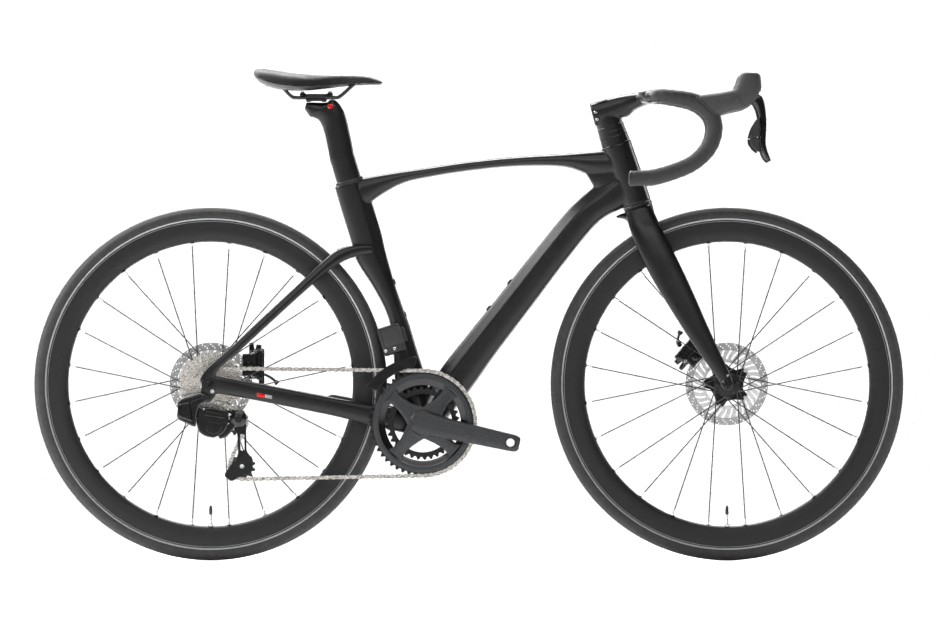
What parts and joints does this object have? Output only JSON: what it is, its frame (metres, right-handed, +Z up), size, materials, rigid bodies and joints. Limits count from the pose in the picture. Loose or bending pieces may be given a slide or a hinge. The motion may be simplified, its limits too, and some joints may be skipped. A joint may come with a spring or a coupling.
{
  "type": "road bicycle",
  "caption": "Drop-bar racing bicycle with a satin black aero frame, deep rims, disc brakes, a double crankset, a wide cassette and a chain drive.",
  "frame": {"origin": "on the ground midway between the two wheels, in the middle plane", "axes": "+X forwards, +Y to the rider's left (the drive side faces -Y), +Z up"},
  "size_m": [1.675, 0.4572, 0.9479],
  "materials": {
    "carbon": "satin black lacquer over carbon fibre",
    "rim_carbon": "matte dark grey",
    "tyre": "matte rubber with a thin silver sidewall line",
    "spoke_steel": "dark grey blackened steel",
    "rotor_steel": "ground steel with a black carrier",
    "valve": "bright threaded metal",
    "black_alloy": "black anodised",
    "lever_alloy": "gloss black",
    "cage_black": "black anodised",
    "crank_alloy": "matte dark grey",
    "ring_black": "black anodised",
    "bearing_steel": "ground",
    "rail_steel": "black lacquered",
    "chain_steel": "nickel plated",
    "sprocket_steel": "nickel plated",
    "red_anodised": "gloss red anodised",
    "black_plastic": "matte black",
    "hose": "satin black",
    "hood_rubber": "matte textured rubber",
    "bar_tape": "perforated matte tape",
    "saddle_cover": "matte black synthetic cover",
    "brake_pad": "sintered compound"
  },
  "bodies": {
    "frame": {"main_frame": "carbon", "chainstays": "carbon", "seatstays": "carbon", "seatpost_wedge": "black_alloy", "headset_bearing_lower": "bearing_steel", "headset_bearing_upper": "bearing_steel", "bracket_cup_right": "black_alloy", "bracket_cup_left": "black_alloy", "fd_body": "black_plastic", "rear_caliper": "black_alloy", "rear_brake_hose": "hose", "rear_axle": "black_alloy", "chain": "chain_steel", "rd_body": "black_alloy"},
    "seatpost": {"seatpost": "carbon", "clamp_pin": "red_anodised", "saddle_cradle": "black_alloy", "rail_clamp_upper": "black_alloy"},
    "saddle": {"saddle_shell": "saddle_cover", "saddle_rails": "rail_steel"},
    "steering": {"fork": "carbon", "headset_spacers": "black_plastic", "handlebar_stem": "carbon", "tape_right": "bar_tape", "tape_left": "bar_tape", "hood_right": "hood_rubber", "hood_left": "hood_rubber", "front_caliper": "black_alloy", "front_brake_hose": "hose", "front_axle": "black_alloy"},
    "lever_right": {"lever_right": "lever_alloy"},
    "lever_left": {"lever_left": "lever_alloy"},
    "paddle_right": {"shift_paddle_right": "black_plastic"},
    "paddle_left": {"shift_paddle_left": "black_plastic"},
    "front_pad_right": {"front_pad_right": "brake_pad"},
    "front_pad_left": {"front_pad_left": "brake_pad"},
    "rear_pad_right": {"rear_pad_right": "brake_pad"},
    "rear_pad_left": {"rear_pad_left": "brake_pad"},
    "front_wheel": {"front_tyre": "tyre", "front_rim": "rim_carbon", "front_hub_and_spokes": "spoke_steel", "front_rotor": "rotor_steel", "front_valve": "valve"},
    "rear_wheel": {"rear_tyre": "tyre", "rear_rim": "rim_carbon", "rear_hub_and_spokes": "spoke_steel", "rear_rotor": "rotor_steel", "rear_valve": "valve"},
    "cassette": {"cassette": "sprocket_steel", "freehub_body": "black_alloy"},
    "crank": {"crank_arm_right": "crank_alloy", "crank_arm_left": "crank_alloy", "chainring_outer": "crank_alloy", "chainring_inner": "ring_black"},
    "rd_link": {"rd_link": "black_alloy"},
    "rd_knuckle": {"rd_knuckle": "black_alloy"},
    "rd_cage": {"rd_cage": "cage_black"},
    "guide_pulley": {"guide_pulley": "black_plastic"},
    "tension_pulley": {"tension_pulley": "black_plastic"},
    "fd_cage": {"fd_cage": "cage_black"}
  },
  "joints": [
    {"name": "steering", "type": "hinge", "parent": "frame", "child": "steering", "pos_m": [0.4425, 0, 0.34], "axis": [-0.3173, 0, 0.9483], "range_deg": [-60, 60]},
    {"name": "front_wheel_spin", "type": "hinge", "parent": "steering", "child": "front_wheel", "pos_m": [0.4975, 0, 0.34], "axis": [0, 1, 0], "continuous": true},
    {"name": "rear_wheel_spin", "type": "hinge", "parent": "frame", "child": "rear_wheel", "pos_m": [-0.4975, 0, 0.34], "axis": [0, 1, 0], "continuous": true},
    {"name": "crank_spin", "type": "hinge", "parent": "frame", "child": "crank", "pos_m": [-0.0884, 0, 0.265], "axis": [0, 1, 0], "continuous": true},
    {"name": "cassette_spin", "type": "hinge", "parent": "frame", "child": "cassette", "pos_m": [-0.4975, 0, 0.34], "axis": [0, 1, 0], "continuous": true},
    {"name": "rd_link_swing", "type": "hinge", "parent": "frame", "child": "rd_link", "pos_m": [-0.52, -0.0845, 0.293], "axis": [0.1695, 0.588, 0.7909], "range_deg": [-12, 22], "stiffness_Nm_per_rad": 2, "deforming": ["chain"]},
    {"name": "rd_knuckle_swing", "type": "hinge", "parent": "rd_link", "child": "rd_knuckle", "pos_m": [-0.45, -0.082, 0.278], "axis": [0.1695, 0.588, 0.7909], "range_deg": [-22, 12]},
    {"name": "rd_cage_swing", "type": "hinge", "parent": "rd_knuckle", "child": "rd_cage", "pos_m": [-0.443, -0.066, 0.274], "axis": [0, -1, 0], "range_deg": [-20, 50], "stiffness_Nm_per_rad": 1.5, "deforming": ["chain"]},
    {"name": "guide_pulley_spin", "type": "hinge", "parent": "rd_cage", "child": "guide_pulley", "pos_m": [-0.452, -0.0485, 0.268], "axis": [0, 1, 0], "continuous": true},
    {"name": "tension_pulley_spin", "type": "hinge", "parent": "rd_cage", "child": "tension_pulley", "pos_m": [-0.4368, -0.0485, 0.1816], "axis": [0, 1, 0], "continuous": true},
    {"name": "fd_cage_swing", "type": "hinge", "parent": "frame", "child": "fd_cage", "pos_m": [-0.149, -0.033, 0.43], "axis": [1, 0, 0], "range_deg": [0, 6], "stiffness_Nm_per_rad": 2, "springref_deg": -2.86, "deforming": ["chain"]},
    {"name": "lever_right_pull", "type": "hinge", "parent": "steering", "child": "lever_right", "pos_m": [0.548, -0.211, 0.89], "axis": [0, 1, 0], "range_deg": [0, 18], "stiffness_Nm_per_rad": 1.5, "springref_deg": -8.59},
    {"name": "paddle_right_push", "type": "hinge", "parent": "lever_right", "child": "paddle_right", "pos_m": [0.5485, -0.215, 0.836], "axis": [1, 0, 0], "range_deg": [0, 6], "stiffness_Nm_per_rad": 0.3, "springref_deg": -5.73},
    {"name": "lever_left_pull", "type": "hinge", "parent": "steering", "child": "lever_left", "pos_m": [0.548, 0.211, 0.89], "axis": [0, 1, 0], "range_deg": [0, 18], "stiffness_Nm_per_rad": 1.5, "springref_deg": -8.59},
    {"name": "paddle_left_push", "type": "hinge", "parent": "lever_left", "child": "paddle_left", "pos_m": [0.5485, 0.215, 0.836], "axis": [-1, 0, 0], "range_deg": [0, 6], "stiffness_Nm_per_rad": 0.3, "springref_deg": -5.73},
    {"name": "front_pad_right_press", "type": "slide", "parent": "steering", "child": "front_pad_right", "axis": [0, 1, 0], "range_m": [0, 0.0006]},
    {"name": "front_pad_left_press", "type": "slide", "parent": "steering", "child": "front_pad_left", "axis": [0, -1, 0], "range_m": [0, 0.0006]},
    {"name": "rear_pad_right_press", "type": "slide", "parent": "frame", "child": "rear_pad_right", "axis": [0, 1, 0], "range_m": [0, 0.0006]},
    {"name": "rear_pad_left_press", "type": "slide", "parent": "frame", "child": "rear_pad_left", "axis": [0, -1, 0], "range_m": [0, 0.0006]},
    {"name": "seatpost_height", "type": "slide", "parent": "frame", "child": "seatpost", "axis": [-0.29, 0, 0.957], "range_m": [-0.04, 0.04]},
    {"name": "saddle_fore_aft", "type": "slide", "parent": "seatpost", "child": "saddle", "axis": [1, 0, 0], "range_m": [-0.012, 0.012]}
  ],
  "couplings": [
    {"joint": "cassette_spin", "follows": "crank_spin", "ratio": 3.3333},
    {"joint": "guide_pulley_spin", "follows": "crank_spin", "ratio": -4.1667},
    {"joint": "tension_pulley_spin", "follows": "crank_spin", "ratio": 4.1667},
    {"joint": "rd_knuckle_swing", "follows": "rd_link_swing", "ratio": -1},
    {"joint": "front_pad_right_press", "follows": "lever_left_pull", "m_per_rad": 0.001592},
    {"joint": "front_pad_left_press", "follows": "lever_left_pull", "m_per_rad": 0.001592},
    {"joint": "rear_pad_right_press", "follows": "lever_right_pull", "m_per_rad": 0.001592},
    {"joint": "rear_pad_left_press", "follows": "lever_right_pull", "m_per_rad": 0.001592}
  ]
}
